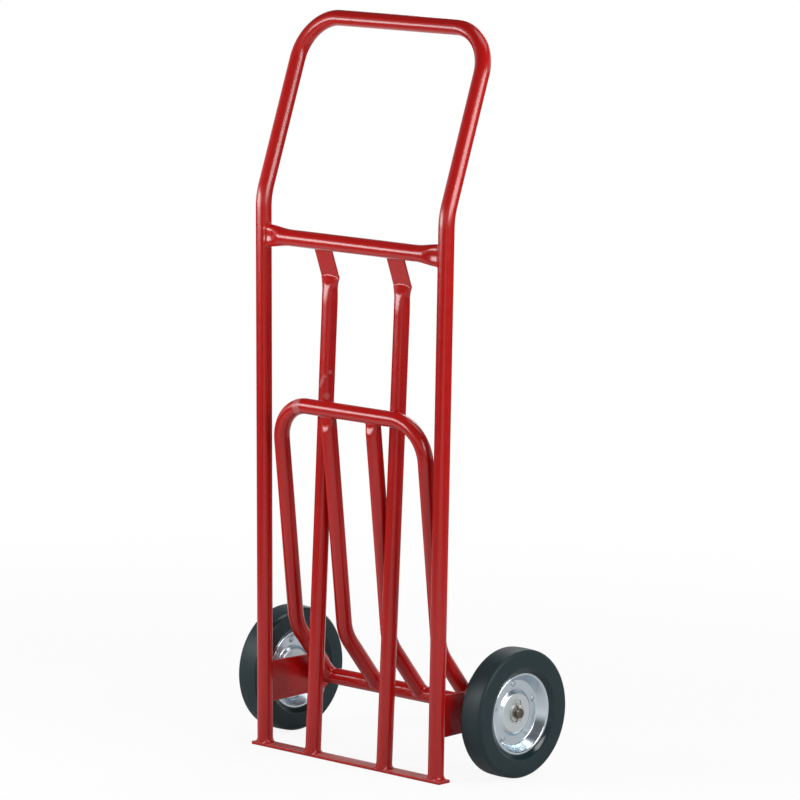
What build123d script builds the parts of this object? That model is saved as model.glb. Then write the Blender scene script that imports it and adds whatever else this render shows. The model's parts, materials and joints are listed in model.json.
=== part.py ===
from build123d import *
from math import cos, radians, sin, tan
import os

# A hand truck of welded round tube with a nose that folds down about the axle.
# Millimetres. +Z is up, X runs across the truck and +Y runs from the load side back to the wheels.
# The origin is on the floor, midway between the uprights and in line with them.
# Left is the -X side, as seen from the load side. The nose is modelled folded up.

# Tube stock
tube_od = 25.4
tube_wall = 1.65

# Frame tube: two uprights that spread a little upwards, and a handle loop that leans back
upright_base_spacing = 377.0
upright_top_spacing = 398.0
knee_height = 893.0
knee_radius = 110.0
handle_height = 1175.0
handle_back = 98.6
handle_corner_radius = 72.0

# Crossbar between the uprights, its ends pinched front to back so that they flare in height
crossbar_od = 26.7
crossbar_wall = 2.1
crossbar_height = 830.0
crossbar_flare_length = 62.0
crossbar_end_height = 36.0
crossbar_end_depth = 15.5

# Centre tubes: crushed flat at the top, then bent forward to butt on the lower back of the crossbar
centre_tube_spacing = 157.2
centre_foot_back = -2.0
strip_width = 38.4
strip_thickness = 3.4
strip_crown = 0.05
strip_lean = 20.5
strip_bend_radius = 14.0
strip_drop = 60.0
strip_aim_back = 8.25
crush_length = 20.0
strip_join_overlap = 0.01

# Toe plate under the four tubes
toe_depth = 26.0
toe_thickness = 4.8
toe_overhang = 6.5
toe_corner_radius = 2.0

# Axle and the brackets that carry it
wheel_diameter = 206.0
axle_back = 116.5
axle_diameter = 15.875
axle_chamfer = 1.2
bracket_thickness = 4.8
bracket_front_height = 68.0
bracket_rear_height = 62.0
bracket_tail = 32.0
bracket_corner_radius = 22.0

# Nose: a loop with two prongs, on a sleeve that turns on the axle
nose_height = 564.6
nose_corner_radius = 62.0
nose_bend_height = 198.0
nose_bend_back = 38.7
nose_bend_radius = 65.0
nose_side_gap = 5.8
prong_side_gap = 4.5
stop_gap = 0.8
prong_crush_length = 34.0
prong_end_width = 29.0
prong_end_depth = 20.5
pivot_tube_od = 26.7
pivot_tube_wall = 2.9
bush_length = 26.0
bush_flange_thickness = 2.0
thrust_washer_thickness = 1.6
thrust_washer_od = 30.0

# Wheel: a solid tyre clamped between two stamped discs that are riveted web to web
tyre_width = 44.45
tyre_shoulder_radius = 6.0
tyre_crown = 0.6
tyre_bead_width = 4.8
disc_sheet = 1.6
hub_face_radius = 31.0
hub_face_offset = 7.2
hub_hole_radius = 12.0
web_inner_radius = 37.0
web_outer_radius = 52.0
rim_radius = 65.3
rim_offset = 17.6
rim_lip_width = 2.6
disc_bend_radius = 3.0
hub_length = 56.0
hub_wall = 1.6
bearing_od = 34.925
bearing_width = 11.0
bearing_recess = 0.8
rivet_count = 5
rivet_circle_radius = 46.0
rivet_diameter = 5.0
rivet_head_diameter = 9.0
rivet_head_height = 2.2
first_rivet_angle = -123.5

# Hub washers and cotter pins
hub_washer_thickness = 2.4
hub_washer_od = 30.0
cotter_diameter = 3.2
cotter_eye_radius = 4.0
cotter_tip_length = 6.0
cotter_bend_radius = 4.0
cotter_spread_angle = 60.0
axle_end_beyond_cotter = 5.0

# Clearances
running_gap = 0.05
side_play = 0.3
washer_bore_gap = 0.1
cotter_gap = 0.1

# Places worked out from the sizes above
tube_radius = tube_od / 2
crossbar_radius = crossbar_od / 2
axle_radius = axle_diameter / 2
axle_height = wheel_diameter / 2
upright_base_x = upright_base_spacing / 2
upright_top_x = upright_top_spacing / 2
upright_spread = (upright_top_x - upright_base_x) / knee_height
centre_x = centre_tube_spacing / 2
strip_foot_height = crossbar_height - strip_drop
strip_foot_back = strip_aim_back + strip_drop * tan(radians(strip_lean))
leg_x = upright_base_x - tube_od - nose_side_gap
prong_x = centre_x - tube_od - prong_side_gap
bracket_x = upright_base_x + upright_spread * axle_height
bracket_inner_x = bracket_x - bracket_thickness / 2
bracket_outer_x = bracket_x + bracket_thickness / 2
pivot_half_length = bracket_inner_x - thrust_washer_thickness - side_play - bush_flange_thickness
hub_inner_x = bracket_outer_x + hub_washer_thickness + side_play
wheel_x = hub_inner_x + hub_length - hub_face_offset + disc_sheet
hub_face_x = wheel_x + hub_face_offset
cotter_x = hub_face_x + side_play + hub_washer_thickness + cotter_gap + cotter_diameter / 2
axle_half_length = cotter_x + axle_end_beyond_cotter
tyre_radius = wheel_diameter / 2
bearing_radius = bearing_od / 2

centre_axis = Vector(0, strip_foot_back - centre_foot_back, strip_foot_height).normalized()
strip_axis = Vector(0, -sin(radians(strip_lean)), cos(radians(strip_lean)))
centre_tube_back_at_nose = centre_foot_back + nose_height * centre_axis.Y / centre_axis.Z
nose_top_back = centre_tube_back_at_nose - (tube_od + stop_gap) / centre_axis.Z


def bent_wire(points, radii):
    """Straight runs through the corner points, joined by tangent arcs of the given radii."""
    corners = [Vector(*point) for point in points]
    edges = []
    start = corners[0]
    for before, corner, after, radius in zip(corners, corners[1:], corners[2:], radii):
        to_before = (before - corner).normalized()
        to_after = (after - corner).normalized()
        half_angle = radians(to_before.get_angle(to_after)) / 2
        inward = (to_before + to_after).normalized()
        arc_start = corner + to_before * (radius / tan(half_angle))
        arc_middle = corner + inward * (radius / sin(half_angle) - radius)
        arc_end = corner + to_after * (radius / tan(half_angle))
        edges.append(Line(start, arc_start))
        edges.append(ThreePointArc(arc_start, arc_middle, arc_end))
        start = arc_end
    edges.append(Line(start, corners[-1]))
    return Wire(edges)


def swept_tube(path, diameter, wall=0):
    """A round tube along a path, or a round bar where no wall is given."""
    section = Circle(diameter / 2)
    if wall:
        section -= Circle(diameter / 2 - wall)
    return sweep(Plane(origin=path @ 0, z_dir=path % 0) * section, path=path)


def pinched_end(diameter, wall, start, wide_dir, axis, length, wide, narrow):
    """A tube end that eases from round to an ellipse of the given width and depth."""
    radius = diameter / 2

    def loft_with(inset):
        sections = []
        for step in range(4):
            share = step / 3
            ease = share * share * (3 - 2 * share)
            half_wide = radius + (wide / 2 - radius) * ease - inset
            half_narrow = radius + (narrow / 2 - radius) * ease - inset
            plane = Plane(origin=start + axis * (length * share), x_dir=wide_dir, z_dir=axis)
            outline = Circle(half_wide) if step == 0 else Ellipse(half_wide, half_narrow)
            sections.append(plane * outline)
        return loft(sections)

    return loft_with(0) - loft_with(wall)


def crushed_section(share):
    """An outline between the round tube (share 0) and the crushed strip (share 1), in four arcs."""
    def between(at_round, at_flat):
        return at_round + (at_flat - at_round) * share

    corner_x = between(tube_radius * cos(radians(45)), (strip_width - strip_thickness) / 2)
    corner_y = between(tube_radius * sin(radians(45)), strip_thickness / 2)
    side_x = between(tube_radius, strip_width / 2)
    face_y = between(tube_radius, strip_thickness / 2 + strip_crown)
    corners = [(corner_x, -corner_y), (corner_x, corner_y), (-corner_x, corner_y), (-corner_x, -corner_y)]
    middles = [(side_x, 0), (0, face_y), (-side_x, 0), (0, -face_y)]
    arcs = [ThreePointArc(a, m, b) for a, m, b in zip(corners, middles, corners[1:] + corners[:1])]
    return make_face(arcs)


def above_toe_plate(shape):
    """The part of a shape that stands on the toe plate."""
    return split(shape, bisect_by=Plane.XY.offset(toe_thickness), keep=Keep.TOP)


def across(radius, half_length, back, height):
    """A bar along X, centred on the truck."""
    return Pos(0, back, height) * Rot(0, 90, 0) * Cylinder(radius, 2 * half_length)


def round_axle(radius, inner_x, outer_x):
    """A solid cylinder on the axle's line, between two places along X."""
    place = Pos((inner_x + outer_x) / 2, axle_back, axle_height) * Rot(0, 90, 0)
    return place * Cylinder(radius, outer_x - inner_x)


def ring(outer_radius, inner_radius, inner_x, outer_x):
    """A plain ring round the axle, between two places along X."""
    return round_axle(outer_radius, inner_x, outer_x) - round_axle(inner_radius, inner_x, outer_x)


def both_sides(name, right_shape):
    """The right-hand piece and its mirror image, named for their sides."""
    left_shape = mirror(right_shape, about=Plane.YZ)
    return {"left_" + name: left_shape, "right_" + name: right_shape}


def frame_tube_path():
    """Centreline of the uprights and handle, from the left foot round to the right foot."""
    right = [
        (upright_top_x, handle_back, handle_height),
        (upright_top_x, 0, knee_height),
        (upright_base_x, 0, 0),
    ]
    left = [(-x, y, z) for x, y, z in reversed(right)]
    radii = [knee_radius, handle_corner_radius, handle_corner_radius, knee_radius]
    return bent_wire(left + right, radii)


def make_crossbar(frame_bar):
    """Round in the middle, pinched at both ends and coped to the uprights."""
    half_length = upright_base_x + upright_spread * crossbar_height
    half_middle = half_length - crossbar_flare_length
    middle = across(crossbar_radius, half_middle, 0, crossbar_height)
    middle -= across(crossbar_radius - crossbar_wall, half_middle, 0, crossbar_height)
    end = pinched_end(crossbar_od, crossbar_wall, Vector(half_middle, 0, crossbar_height), (0, 0, 1),
                      Vector(1, 0, 0), crossbar_flare_length, crossbar_end_height, crossbar_end_depth)
    return middle + end + mirror(end, about=Plane.YZ) - frame_bar


def make_centre_tube(crossbar_bar):
    """Right centre tube: hollow below, crushed shut over a short length, then a flat strip."""
    foot = Vector(centre_x, centre_foot_back, 0)
    strip_foot = Vector(centre_x, strip_foot_back, strip_foot_height)
    bend_reach = strip_bend_radius * tan(radians(centre_axis.get_angle(strip_axis)) / 2)
    crush_end = strip_foot - centre_axis * bend_reach
    crush_start = crush_end - centre_axis * crush_length
    strip_top = strip_foot + strip_axis * (strip_drop / strip_axis.Z)

    tube = swept_tube(Line(foot, crush_start), tube_od, tube_wall)
    sections = []
    for step in range(4):
        share = step / 3
        place = crush_start + centre_axis * (crush_length * share)
        ease = share * share * (3 - 2 * share)
        sections.append(Plane(origin=place, x_dir=(1, 0, 0), z_dir=centre_axis) * crushed_section(ease))
    join = crush_end - centre_axis * strip_join_overlap
    strip_path = bent_wire([join, strip_foot, strip_top], [strip_bend_radius])
    strip_start = Plane(origin=strip_path @ 0, x_dir=(1, 0, 0), z_dir=centre_axis)
    strip = sweep(strip_start * crushed_section(1), path=strip_path)
    return above_toe_plate(tube + loft(sections) + strip) - crossbar_bar


def make_toe_plate():
    """Flat bar on the floor under the uprights and centre tubes."""
    length = upright_base_spacing + tube_od + 2 * toe_overhang
    outline = RectangleRounded(length, toe_depth, toe_corner_radius)
    return extrude(outline, toe_thickness)


def make_axle_bracket(frame_bar):
    """Right bracket: a flat plate coped to the back of the upright, bored for the axle."""
    tail = axle_back + bracket_tail
    outline = Polyline(
        (0, axle_height - bracket_front_height / 2),
        (tail, axle_height - bracket_rear_height / 2),
        (tail, axle_height + bracket_rear_height / 2),
        (0, axle_height + bracket_front_height / 2),
        close=True,
    )
    face = make_face(outline)
    face = fillet(face.vertices().sort_by(Axis.X)[-2:], bracket_corner_radius)
    face -= Pos(axle_back, axle_height) * Circle(axle_radius)
    side_plane = Plane(origin=(bracket_inner_x, 0, 0), x_dir=(0, 1, 0), z_dir=(1, 0, 0))
    return extrude(side_plane * face, bracket_thickness) - frame_bar


def make_axle():
    """Round bar with chamfered ends, drilled upright for the cotter pins."""
    bar = across(axle_radius, axle_half_length, axle_back, axle_height)
    bar = chamfer(bar.edges().filter_by(GeomType.CIRCLE), axle_chamfer)
    for x in (-cotter_x, cotter_x):
        bar -= Pos(x, axle_back, axle_height) * Cylinder(cotter_diameter / 2, 2 * axle_diameter)
    return bar


def make_cotter_pin():
    """Right split pin: an eye above the axle and two half-round legs spread below it."""
    bend_height = axle_height - axle_radius - cotter_bend_radius
    tip_y = cotter_tip_length * sin(radians(cotter_spread_angle))
    tip_z = cotter_tip_length * cos(radians(cotter_spread_angle))
    top = Vector(cotter_x, axle_back, axle_height + axle_radius + cotter_eye_radius)
    bend = Vector(cotter_x, axle_back, bend_height)
    half_disc = Circle(cotter_diameter / 2) & Pos(0, cotter_diameter / 2) * Rectangle(
        cotter_diameter, cotter_diameter)
    legs = []
    for side in (1, -1):
        tip = bend + Vector(0, side * tip_y, -tip_z)
        path = bent_wire([top, bend, tip], [cotter_bend_radius])
        start = Plane(origin=top, x_dir=(side, 0, 0), z_dir=(0, 0, -1))
        legs.append(sweep(start * (Rot(0, 0, 180) * half_disc), path=path))
    eye = Pos(top + Vector(0, 0, cotter_eye_radius)) * Rot(0, 90, 0) * Torus(
        cotter_eye_radius, cotter_diameter / 2)
    return legs[0] + legs[1] + eye


def nose_side_path(x, top_height):
    """Centreline of a nose tube, from the pivot up to the given height on the nose's slope."""
    slope = (nose_top_back - nose_bend_back) / (nose_height - nose_bend_height)
    top_back = nose_bend_back + slope * (top_height - nose_bend_height)
    return [(x, axle_back, axle_height), (x, nose_bend_back, nose_bend_height), (x, top_back, top_height)]


def make_nose_loop(pivot_bar):
    """Inverted U with legs bent back to the pivot tube and coped to it."""
    right = nose_side_path(leg_x, nose_height)
    left = [(-x, y, z) for x, y, z in reversed(right)]
    radii = [nose_bend_radius, nose_corner_radius, nose_corner_radius, nose_bend_radius]
    path = bent_wire(right + left, radii)
    return swept_tube(path, tube_od, tube_wall) - pivot_bar


def make_nose_prong(pivot_bar, loop_bar):
    """Right prong: bent like the legs, its pinched top coped to the loop's top bar."""
    points = [Vector(*point) for point in nose_side_path(prong_x, nose_height)]
    axis = (points[2] - points[1]).normalized()
    pinch_start = points[2] - axis * prong_crush_length
    path = bent_wire([points[0], points[1], pinch_start], [nose_bend_radius])
    end = pinched_end(tube_od, tube_wall, pinch_start, (1, 0, 0), axis,
                      prong_crush_length, prong_end_width, prong_end_depth)
    return swept_tube(path, tube_od, tube_wall) + end - pivot_bar - loop_bar


def make_pivot_tube():
    """Sleeve round the axle that carries the legs and prongs."""
    outer = across(pivot_tube_od / 2, pivot_half_length, axle_back, axle_height)
    bore = across(pivot_tube_od / 2 - pivot_tube_wall, pivot_half_length, axle_back, axle_height)
    return outer - bore


def make_bush():
    """Right flanged bush: its sleeve fills the end of the pivot tube and runs on the axle."""
    bore_radius = axle_radius + running_gap
    sleeve_radius = pivot_tube_od / 2 - pivot_tube_wall
    sleeve = ring(sleeve_radius, bore_radius, pivot_half_length - bush_length, pivot_half_length)
    flange = ring(pivot_tube_od / 2, bore_radius, pivot_half_length,
                  pivot_half_length + bush_flange_thickness)
    return sleeve + flange


def disc_line():
    """Outer face of a stamped disc as (radius, offset from the wheel's middle): hub, web, rim, lip."""
    rim_foot = (rim_radius - rim_lip_width, rim_offset)
    points = [
        (hub_hole_radius, hub_face_offset),
        (hub_face_radius, hub_face_offset),
        (web_inner_radius, disc_sheet),
        (web_outer_radius, disc_sheet),
        rim_foot,
        (rim_radius, rim_offset),
    ]
    return FilletPolyline(*points, radius=disc_bend_radius)


def about_axle(profile, side):
    """Turn a (radius, offset) profile round the axle, in the right wheel's place."""
    place = Plane(origin=(wheel_x, axle_back, axle_height), x_dir=(0, 0, 1), z_dir=(0, 1, 0))
    if side < 0:
        profile = mirror(profile, about=Plane.XZ)
    axis = Axis((wheel_x, axle_back, axle_height), (1, 0, 0))
    return revolve(place * profile, axis=axis)


def make_disc(side):
    """Stamped disc of the right wheel, on its outer (1) or inner (-1) side."""
    profile = make_face(disc_line().offset_2d(disc_sheet, side=Side.RIGHT, closed=True))
    disc = about_axle(profile, side)
    if side < 0:
        disc -= round_axle(bearing_radius + hub_wall, hub_inner_x, wheel_x)
    return disc


def make_tyre(discs):
    """Solid tyre with a slightly crowned tread, seated on the back of both discs."""
    half = tyre_width / 2
    shoulder = tyre_shoulder_radius
    edge_radius = tyre_radius - tyre_crown
    middle_of_sheet = disc_sheet / 2
    seat = [
        (web_outer_radius + middle_of_sheet, middle_of_sheet),
        (rim_radius - rim_lip_width, rim_offset - middle_of_sheet),
        (rim_radius, rim_offset - middle_of_sheet),
    ]
    wall_foot = (rim_radius + disc_sheet, rim_offset)
    wall_top = (rim_radius + tyre_bead_width, half)
    right_half = seat + [wall_foot, wall_top, (edge_radius - shoulder, half)]
    left_half = [(r, -a) for r, a in reversed(right_half)]
    corner = shoulder * cos(radians(45))
    tread = ThreePointArc((edge_radius, half - shoulder), (tyre_radius, 0), (edge_radius, shoulder - half))
    turn_in = (edge_radius - shoulder + corner, half - shoulder + corner)
    right_shoulder = ThreePointArc(right_half[-1], turn_in, (edge_radius, half - shoulder))
    left_shoulder = ThreePointArc(
        (edge_radius, shoulder - half), (turn_in[0], -turn_in[1]), left_half[0])
    outline = [Polyline(*right_half), right_shoulder, tread, left_shoulder, Polyline(*left_half)]
    outline.append(Line(left_half[-1], right_half[0]))
    tyre = about_axle(make_face(outline), 1)
    for disc in discs:
        tyre -= disc
    return tyre


def make_hub():
    """Barrel through the inner disc, from the bracket side to the back of the outer disc."""
    return ring(bearing_radius + hub_wall, bearing_radius, hub_inner_x, hub_inner_x + hub_length)


def make_bearing(inner_x):
    """Shielded bearing that fills the hub and runs on the axle, with recessed faces."""
    bore_radius = axle_radius + running_gap
    body = ring(bearing_radius, bore_radius, inner_x, inner_x + bearing_width)
    ring_width = (bearing_radius - bore_radius) / 4
    recess_outer = bearing_radius - ring_width
    recess_inner = bore_radius + ring_width
    for x in (inner_x, inner_x + bearing_width - bearing_recess):
        body -= ring(recess_outer, recess_inner, x, x + bearing_recess)
    return body


def make_rivets():
    """Round-headed rivets through both webs of the right wheel."""
    rivets = []
    for number in range(rivet_count):
        angle = radians(first_rivet_angle + number * 360 / rivet_count)
        head_radius = rivet_head_diameter / 2
        dome_radius = (head_radius ** 2 + rivet_head_height ** 2) / (2 * rivet_head_height)
        shank = Cylinder(rivet_diameter / 2, 2 * disc_sheet)
        dome = Sphere(dome_radius) & Pos(0, 0, dome_radius) * Box(
            2 * dome_radius, 2 * dome_radius, 2 * rivet_head_height)
        head = Pos(0, 0, disc_sheet + rivet_head_height - dome_radius) * dome
        rivet = shank + head + mirror(head, about=Plane.XY)
        place = Pos(wheel_x, axle_back + rivet_circle_radius * cos(angle),
                    axle_height + rivet_circle_radius * sin(angle))
        rivets.append(place * Rot(0, 90, 0) * rivet)
    return rivets


def make_wheel():
    """All pieces of the right wheel."""
    rivets = make_rivets()
    outer_disc = make_disc(1)
    inner_disc = make_disc(-1)
    tyre = make_tyre([outer_disc, inner_disc])
    for rivet in rivets:
        outer_disc -= rivet
        inner_disc -= rivet
    return {
        "tyre": tyre,
        "outer_disc": outer_disc,
        "inner_disc": inner_disc,
        "hub_barrel": make_hub(),
        "inner_bearing": make_bearing(hub_inner_x),
        "outer_bearing": make_bearing(hub_inner_x + hub_length - bearing_width),
        "disc_rivets": Compound(children=rivets),
    }


def make_parts():
    """Every piece of the truck by name, in place with the nose folded up."""
    frame_path = frame_tube_path()
    frame_bar = swept_tube(frame_path, tube_od)
    crossbar_bar = across(crossbar_radius, upright_base_x, 0, crossbar_height)
    pivot_bar = across(pivot_tube_od / 2, pivot_half_length, axle_back, axle_height)
    loop_bar = across(tube_radius, leg_x - nose_corner_radius, nose_top_back, nose_height)
    washer_bore = axle_radius + washer_bore_gap

    parts = {
        "frame_tube": above_toe_plate(swept_tube(frame_path, tube_od, tube_wall)),
        "upper_crossbar": make_crossbar(frame_bar),
        "toe_plate": make_toe_plate(),
        "axle": make_axle(),
        "nose_loop": make_nose_loop(pivot_bar),
        "nose_pivot_tube": make_pivot_tube(),
    }
    parts.update(both_sides("centre_tube", make_centre_tube(crossbar_bar)))
    parts.update(both_sides("axle_bracket", make_axle_bracket(frame_bar)))
    parts.update(both_sides("nose_prong", make_nose_prong(pivot_bar, loop_bar)))
    parts.update(both_sides("pivot_bush", make_bush()))
    thrust_inner_x = bracket_inner_x - thrust_washer_thickness
    thrust_washer = ring(thrust_washer_od / 2, washer_bore, thrust_inner_x, bracket_inner_x)
    parts.update(both_sides("thrust_washer", thrust_washer))
    inner_washer = ring(hub_washer_od / 2, washer_bore, bracket_outer_x,
                        bracket_outer_x + hub_washer_thickness)
    parts.update(both_sides("inner_hub_washer", inner_washer))
    outer_washer_x = hub_face_x + side_play
    outer_washer = ring(hub_washer_od / 2, washer_bore, outer_washer_x,
                        outer_washer_x + hub_washer_thickness)
    parts.update(both_sides("outer_hub_washer", outer_washer))
    parts.update(both_sides("cotter_pin", make_cotter_pin()))
    for name, shape in make_wheel().items():
        parts.update(both_sides("wheel_" + name, shape))
    return parts


os.makedirs("parts", exist_ok=True)
for name, shape in make_parts().items():
    export_step(shape, f"parts/{name}.step")
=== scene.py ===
import json
from math import cos, pi, radians, sin, tan

import bpy
import numpy as np
from mathutils import Matrix, Vector


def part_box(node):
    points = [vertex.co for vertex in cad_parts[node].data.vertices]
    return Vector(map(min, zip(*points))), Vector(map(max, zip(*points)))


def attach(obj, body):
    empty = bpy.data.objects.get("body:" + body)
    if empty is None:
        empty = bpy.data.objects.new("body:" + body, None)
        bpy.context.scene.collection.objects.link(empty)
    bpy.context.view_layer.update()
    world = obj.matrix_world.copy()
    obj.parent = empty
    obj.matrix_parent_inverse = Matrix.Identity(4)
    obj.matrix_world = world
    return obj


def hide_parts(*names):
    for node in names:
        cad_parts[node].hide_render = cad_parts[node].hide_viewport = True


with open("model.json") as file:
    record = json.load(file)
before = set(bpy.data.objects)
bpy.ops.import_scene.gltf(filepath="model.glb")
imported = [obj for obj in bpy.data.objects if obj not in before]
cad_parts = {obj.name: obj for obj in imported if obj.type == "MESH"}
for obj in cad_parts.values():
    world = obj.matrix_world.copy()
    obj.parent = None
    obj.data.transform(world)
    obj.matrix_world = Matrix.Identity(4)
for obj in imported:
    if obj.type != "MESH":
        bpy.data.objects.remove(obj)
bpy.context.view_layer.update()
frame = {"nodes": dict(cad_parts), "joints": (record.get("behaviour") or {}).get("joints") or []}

# A hand truck of welded red tube with a nose that folds down about its axle, on two solid rubber wheels.
# Sizes are in millimetres, and MM turns them to metres. They follow the solids: those that a box or a joint
# gives outright are read from the frame. +Z is up, +Y runs back to the wheels.
MM = 0.001


def corners_of(node):
    """Lowest and highest corner of a solid at rest, in millimetres to a hundredth."""
    return [np.round(np.array(corner) / MM, 2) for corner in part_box(node)]


def middle_of(node):
    """Middle of a solid's box: half the sum of its corners."""
    low, high = corners_of(node)
    return (low + high) / 2


def size_of(node):
    """Width, depth and height of a solid's box."""
    low, high = corners_of(node)
    return high - low


def joint_place(name):
    """A joint's place, in millimetres."""
    joint = next(joint for joint in frame["joints"] if joint["name"] == name)
    return np.array(joint["pos_m"]) / MM


# Round tube
TUBE_R = 12.69
UPRIGHT_FOOT_X = 188.5
UPRIGHT_KNEE_X = 199.0
KNEE_Z = 893.0
KNEE_BEND = 110.0
HANDLE_Y = 98.6
HANDLE_Z = 1175.0
HANDLE_BEND = 72.0

# Toe plate, which lies on the floor
TOE_LENGTH, TOE_DEPTH, TOE_TOP = size_of("toe_plate")
TOE_CORNER = 2.0
TOE_EDGE = 0.7

# Crossbar: round in the middle, pinched and dimpled at the ends
CROSSBAR_R = 13.35
CROSSBAR_Z = 830.0
CROSSBAR_FLARE = 62.0
CROSSBAR_PINCH = 44.0
CROSSBAR_TAB = 19.0
CROSSBAR_END_TALL = 18.0
CROSSBAR_END_DEEP = 9.6
CROSSBAR_DIMPLE = 0.32

# Centre tubes: pressed flat at the top to a strip that leans forward to the crossbar
CENTRE_X = middle_of("right_centre_tube")[0]
CENTRE_FOOT_Y = -2.0
STRIP_FOOT_Y = 30.68
STRIP_FOOT_Z = 770.0
STRIP_LEAN = radians(20.5)
STRIP_LENGTH = 64.06
STRIP_BEND = 14.0
STRIP_HALF_THICK = 1.7
STRIP_HALF_WIDE = size_of("right_centre_tube")[0] / 2
# The press: it starts this far below the fold, eases in, thins the tube by a slope and flattens its front
PRESS_START = 44.0
PRESS_EASE = 30.0
PRESS_SLOPE = 0.14
PRESS_FLATTEN = 0.14
SPREAD_LENGTH = 20.0
SPREAD_POWER = 1.6
# The plane that cuts the front off, and the dome that closes the back below and past the fold
FACET_SLOPE = 0.424
FACET_EDGE = 1.6
FACET_CROWN = 3.8
FACET_ROUND = 1.0
BACK_DOME = 16.0
FOLD_HEAD = 5.0
# The crease between tube and strip is rounded over this many of the strip's half thicknesses
CREASE_ROUND = 1.1

# Axle and brackets: a bracket's heights at the uprights' centre line and at the tail, and its corners' radii
WHEEL_X, AXLE_Y, AXLE_Z = joint_place("right_wheel_spin")
AXLE_R = size_of("axle")[2] / 2
AXLE_FIT = 0.02
BRACKET_X = middle_of("right_axle_bracket")[0]
BRACKET_THICK = size_of("right_axle_bracket")[0]
BRACKET_TAIL = corners_of("right_axle_bracket")[1][1]
BRACKET_FRONT = 68.0
BRACKET_REAR = 62.0
BRACKET_FRONT_CORNER = 1.0
BRACKET_REAR_CORNER = 22.0
BRACKET_EDGE = 0.6
BRACKET_SEAT = 0.25

# Tyres: the bead's outline is (radius, offset), and the chamfer's is (drop from the edge, drop from the wall)
TYRE_R = 102.96
TYRE_HALF = size_of("right_wheel_tyre")[0] / 2
TYRE_SHOULDER = 6.0
TYRE_CROWN = 0.6
TYRE_BEVEL_R = 73.0
TYRE_BEAD = [(52.8, 0.8), (62.7, 16.8), (65.2, 16.8), (66.6, 17.1), (67.4, 17.6), (70.2, 19.75),
             (TYRE_BEVEL_R, 21.9), (73.9, 22.15), (75.2, TYRE_HALF), (84.0, TYRE_HALF)]
TYRE_CHAMFER = [(5.2, 0.0), (4.6, 0.12), (4.1, 0.5), (0.75, 4.35), (0.3, 4.95), (0.0, 5.5)]
CHAMFER_R = 97.0
CHAMFER_OFF = 16.0
MOULD_LINE_OFF = 1.6
MOULD_LINE_WIDE = 0.5
MOULD_LINE_DEEP = 0.18

# Wheel discs: flat hub, web, and a rim whose lip is rolled over the bead. The outer disc (1) has a smaller
# hole than the inner one (-1).
DISC_SHEET = 1.6
DISC_HOLES = {1.0: 12.0, -1.0: 19.1}
DISC_HUB_R = 31.0
DISC_HUB_OUT = 7.2
DISC_WEB_IN = 37.0
DISC_WEB_OUT = 52.0
DISC_LIP = [(61.6, 17.0), (64.3, 17.6), (65.3, 16.6)]
DISC_BENDS = [3.0, 3.0, 3.5, 2.2, 0.5]
LIP_ROWS = 6
RIVET_CIRCLE = 46.0
RIVET_COUNT = 5
FIRST_RIVET = radians(-123.5)
RIVET_HEAD_R = 4.5
RIVET_HEAD_TALL = 2.2
RIVET_SHANK_R = 2.5
RIVET_SUNK = 0.3

# Cotter pins: the eye's half outline is (distance from the axle's middle, height)
COTTER_X = middle_of("right_cotter_pin")[0]
COTTER_LEG_Y = 0.8
COTTER_EYE = [(COTTER_LEG_Y, 113.6), (4.6, 116.6), (4.6, 123.6)]
COTTER_DROP = 4.0
COTTER_TAIL = 6.0
COTTER_SPREAD = radians(60)
COTTER_BENDS = [4.0, 1.6, 3.2, 3.8]
COTTER_HALF_THICK = 0.8
COTTER_HALF_WIDE = 1.45

# Nose
LEG_X = 157.3
PRONG_X = middle_of("right_nose_prong")[0]
NOSE_TOP_Y = -4.26
NOSE_TOP_Z = 564.6
NOSE_KNEE_Y = 38.7
NOSE_KNEE_Z = 198.0
NOSE_KNEE_BEND = 65.0
NOSE_CORNER = 62.0
PRONG_PINCH = 34.0
PRONG_END_WIDE = 14.5
PRONG_END_DEEP = 10.25
# The dent pressed into a prong's top reaches lower on the left (-1) than on the right (1)
PRONG_DENT = 3.1
PRONG_DENT_DROP = {-1.0: 25.0, 1.0: 17.0}
PRONG_DENT_SWEEP = 0.35
PRONG_DENT_LENGTH = 14.0
PRONG_DENT_POWER = 1.5
PIVOT_R = 13.35
PIVOT_HALF = size_of("nose_pivot_tube")[0] / 2
PIVOT_BORE = 10.45
PIVOT_CHAMFER = 0.6
PIVOT_LAND = 4.0

# Welds: a fillet's width on the bar and rise up the tube, or a straight bead's radius
CROSSBAR_WELD = (3.0, 3.0)
CROSSBAR_WELD_FILL = 0.8
PIVOT_WELD = (4.2, 4.6)
PRONG_WELD = (2.2, 2.4)
FOOT_WELD_WIDE = 5.4
FOOT_WELD_THIN = 0.15
FOOT_WELD_RISE = 1.7
FOOT_WELD_BURIED = 1.5
BRACKET_BEAD = 2.3
BRACKET_BEAD_OFF = 0.6
STRIP_BEAD = 2.0
BEAD_END = 1.0
# Y and Z of the two beads that join a strip to the crossbar
STRIP_WELDS = ((9.5, 820.4), (12.6, 824.2))
# How full a fillet is, and how deep its edges and its back lie in the metal
WELD_FILL = 0.12
WELD_SUNK = 0.05
WELD_BURIED = 1.2
# Weld pools: their length along a fillet and along a bead, the least share of the full size, and the swell
FILLET_POOL = 3.4
FILLET_LEAST = 0.94
BEAD_POOL = 3.2
BEAD_LEAST = 0.93
POOL_SWELL = 0.1
BEAD_TAPER = 3.2
# A direction that no bead runs along
ASKEW = np.array([0.35, 0.9, 0.26])

# Rings: the steps between them on straight runs and on bends, and the stretches near an end that have none.
# A prong's close rings begin below the top bar's line and end below its skin.
RUN_STEP = 20.0
ARC_STEP = 2.5
PIVOT_CLEAR = 25.0
PRONG_CLEAR = 50.0
PRONG_FINE = 46.0
PRONG_FINE_END = 1.5
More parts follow.
